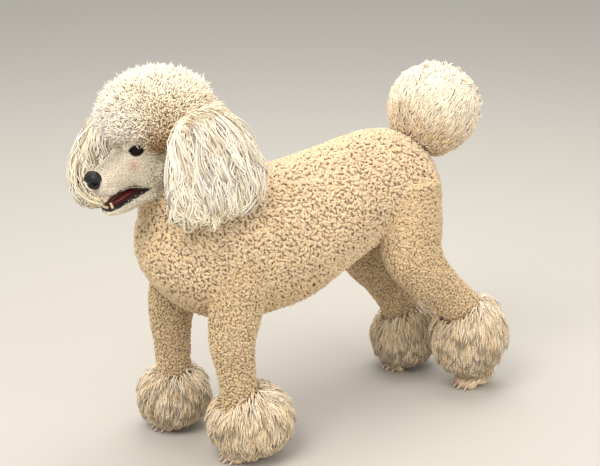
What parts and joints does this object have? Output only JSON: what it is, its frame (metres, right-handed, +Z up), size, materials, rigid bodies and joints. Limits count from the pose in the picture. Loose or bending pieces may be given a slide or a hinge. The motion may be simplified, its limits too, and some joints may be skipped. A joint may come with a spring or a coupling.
{
  "type": "standard poodle",
  "caption": "Life-size still model of a standing clipped standard poodle with topknot, long-haired ears, foot pompons and a tail pompon.",
  "frame": {"origin": "on the floor, under the middle of the part's box", "axes": "+X to the dog's left, +Y towards its tail, +Z up"},
  "size_m": [0.3322, 0.8555, 0.705],
  "materials": {
    "coat_apricot": "curly coat, matte",
    "coat_cream": "curly coat, matte",
    "coat_white": "short and long hair, matte",
    "nose_black": "moist satin",
    "eye_brown": "wet gloss",
    "tongue_red": "wet satin",
    "paw_pink": "short hair and bare skin, matte"
  },
  "bodies": {
    "root": {"head": "coat_white", "jaw": "coat_white", "tongue": "tongue_red", "nose": "nose_black", "eye_left": "eye_brown", "eye_right": "eye_brown", "topknot": "coat_cream", "ear_left": "coat_white", "ear_right": "coat_white", "neck": "coat_apricot", "torso": "coat_apricot", "tail_dock": "coat_apricot", "tail_pompon": "coat_cream", "foreleg_left": "coat_apricot", "foreleg_right": "coat_apricot", "thigh_left": "coat_apricot", "thigh_right": "coat_apricot", "hindleg_left": "coat_apricot", "hindleg_right": "coat_apricot", "fore_pompon_left": "coat_cream", "fore_pompon_right": "coat_cream", "hind_pompon_left": "coat_cream", "hind_pompon_right": "coat_cream", "fore_paw_left": "paw_pink", "fore_paw_right": "paw_pink", "hind_paw_left": "paw_pink", "hind_paw_right": "paw_pink"}
  },
  "joints": []
}
